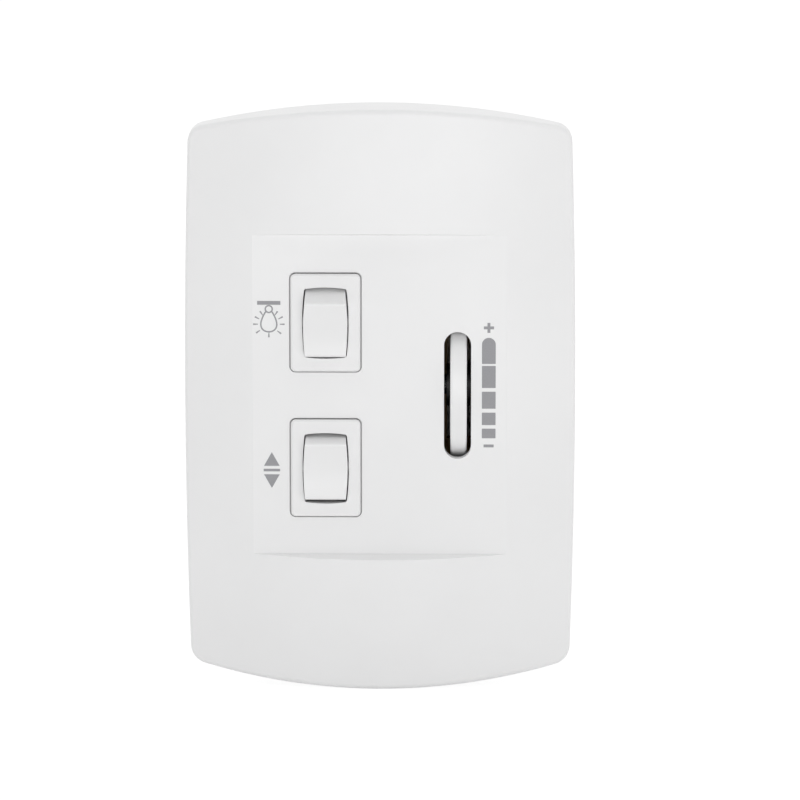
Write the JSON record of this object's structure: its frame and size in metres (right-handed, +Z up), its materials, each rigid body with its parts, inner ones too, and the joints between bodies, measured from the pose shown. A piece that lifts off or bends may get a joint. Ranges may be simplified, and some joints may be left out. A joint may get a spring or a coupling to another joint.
{
  "type": "fan speed control switch",
  "caption": "Crowned wall plate fan control with a light rocker, a direction rocker and an upright speed thumbwheel, snapped over a mounting frame with a stepped rear housing.",
  "frame": {"origin": "middle of the control panel on the wall plane", "axes": "+Z up the wall, -Y out of the wall towards the user, +X to the user's right"},
  "size_m": [0.081, 0.0387, 0.1222],
  "materials": {
    "plate_white": "smooth glossy moulding",
    "housing_white": "satin moulding",
    "key_white": "polished moulding",
    "frame_white": "plain moulding",
    "cover_white": "lightly textured moulding",
    "block_grey": "flame-retardant moulding",
    "board_brown": "phenolic paper laminate",
    "case_black": "moulded epoxy",
    "capacitor_yellow": "potted box",
    "resistor_tan": "lacquered body",
    "fuse_ceramic": "ceramic-filled body",
    "ferrite": "sintered ferrite",
    "copper": "enamelled copper wire",
    "brass": "plain brass",
    "steel": "zinc plated",
    "aluminium": "mill finish"
  },
  "bodies": {
    "case": {"front_plate": "plate_white", "mounting_frame": "frame_white", "rear_cover": "cover_white", "cover_screws": "steel", "circuit_board": "board_brown", "pot_body": "case_black", "pot_cover": "steel", "pot_pins": "steel", "heat_sink": "aluminium", "triac": "case_black", "triac_screw": "steel", "triac_nut": "steel", "choke_core": "ferrite", "choke_winding": "copper", "film_capacitor": "capacitor_yellow", "timing_capacitor": "capacitor_yellow", "fuse": "fuse_ceramic", "resistors": "resistor_tan", "diac": "case_black", "terminal_block": "block_grey", "terminal_cages": "brass", "terminal_screws": "steel", "light_switch_housing": "housing_white", "light_common_terminal": "brass", "light_live_terminal": "brass", "direction_switch_housing": "housing_white", "direction_common_terminal": "brass", "direction_forward_terminal": "brass", "direction_reverse_terminal": "brass"},
    "speed_wheel": {"speed_wheel": "key_white", "pot_shaft": "aluminium"},
    "light_rocker": {"light_rocker": "key_white", "light_plunger_spring": "steel"},
    "light_plunger": {"light_plunger": "brass"},
    "light_lever": {"light_contact_lever": "brass"},
    "direction_rocker": {"direction_rocker": "key_white", "direction_plunger_spring": "steel"},
    "direction_plunger": {"direction_plunger": "brass"},
    "direction_lever": {"direction_contact_lever": "brass"}
  },
  "joints": [
    {"name": "light_rock", "type": "hinge", "parent": "case", "child": "light_rocker", "pos_m": [-0.0112, -0.0065, 0.01535], "axis": [1, 0, 0], "range_deg": [-20, 0]},
    {"name": "light_lever_tip", "type": "hinge", "parent": "case", "child": "light_lever", "pos_m": [-0.0112, 0.0015, 0.01535], "axis": [1, 0, 0], "range_deg": [0, 12]},
    {"name": "light_plunger_slide", "type": "slide", "parent": "light_rocker", "child": "light_plunger", "axis": [0, -0.9848, -0.1736], "range_m": [0, 0.0006], "stiffness_N_per_m": 300, "springref_m": -0.001, "deforming": ["light_plunger_spring"]},
    {"name": "direction_rock", "type": "hinge", "parent": "case", "child": "direction_rocker", "pos_m": [-0.0112, -0.0065, -0.01535], "axis": [1, 0, 0], "range_deg": [-10, 10]},
    {"name": "direction_lever_tip", "type": "hinge", "parent": "case", "child": "direction_lever", "pos_m": [-0.0112, 0.0015, -0.01535], "axis": [1, 0, 0], "range_deg": [-6, 6]},
    {"name": "direction_plunger_slide", "type": "slide", "parent": "direction_rocker", "child": "direction_plunger", "axis": [0, -1, 0], "range_m": [0, 0.0006], "stiffness_N_per_m": 300, "springref_m": -0.001, "deforming": ["direction_plunger_spring"]},
    {"name": "speed_turn", "type": "hinge", "parent": "case", "child": "speed_wheel", "pos_m": [0.0163, 0.004, 0], "axis": [1, 0, 0], "range_deg": [-135, 135]}
  ],
  "couplings": [
    {"joint": "light_lever_tip", "follows": "light_rock", "ratio": -0.6},
    {"joint": "direction_lever_tip", "follows": "direction_rock", "ratio": -0.6}
  ]
}
